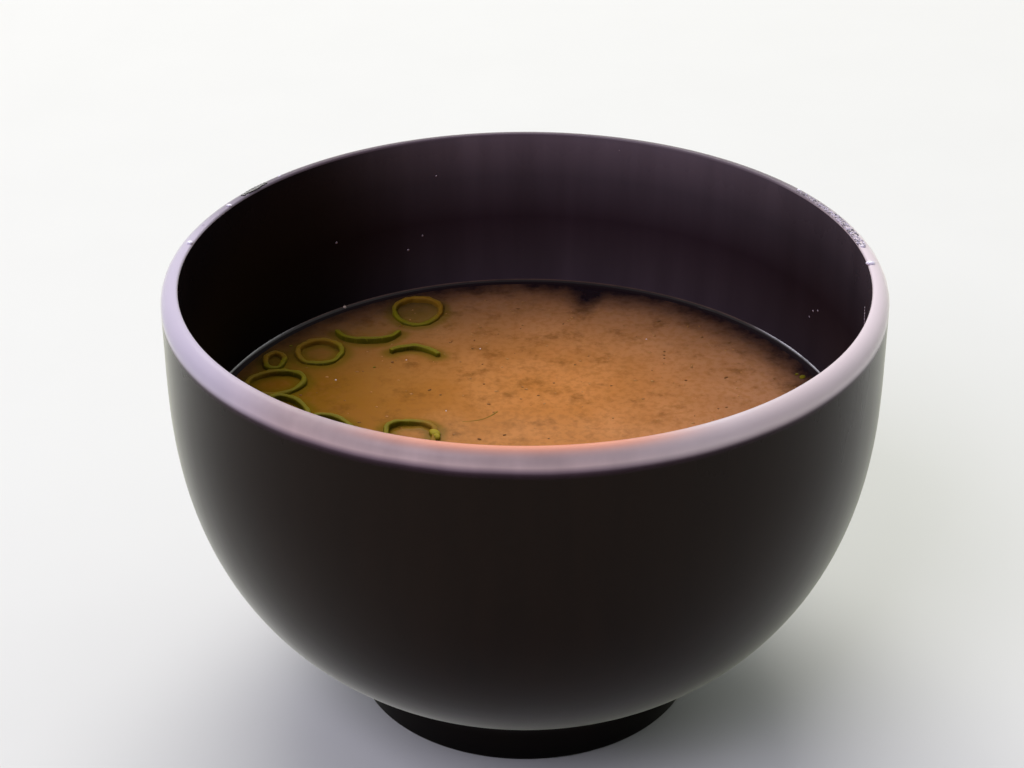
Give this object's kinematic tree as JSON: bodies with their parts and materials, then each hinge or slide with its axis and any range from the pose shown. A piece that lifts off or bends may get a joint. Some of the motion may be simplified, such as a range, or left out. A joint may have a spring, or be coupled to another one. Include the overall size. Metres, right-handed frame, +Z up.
{
  "type": "miso soup",
  "caption": "Bowl of miso soup: cloudy broth in a dark lacquered bowl on a foot ring, with thin rings of spring onion afloat near one side.",
  "frame": {"origin": "on the table, under the middle of the bowl's foot ring", "axes": "+Z up along the bowl's axis; -Y towards the diner; +X to the diner's right, away from the spring onion"},
  "size_m": [0.1124, 0.1124, 0.074],
  "materials": {
    "bowl_lacquer": "satin lacquer",
    "soup": "cloudy liquid",
    "spring_onion": "wet leaf"
  },
  "bodies": {
    "root": {"bowl": "bowl_lacquer", "soup": "soup", "onion_round": "spring_onion", "onion_far_ring": "spring_onion", "onion_wavy_arc": "spring_onion", "onion_strip": "spring_onion", "onion_long_ring": "spring_onion", "onion_wall_ring": "spring_onion", "onion_pointed_ring": "spring_onion", "onion_near_arc": "spring_onion", "onion_square_ring": "spring_onion"}
  },
  "joints": []
}
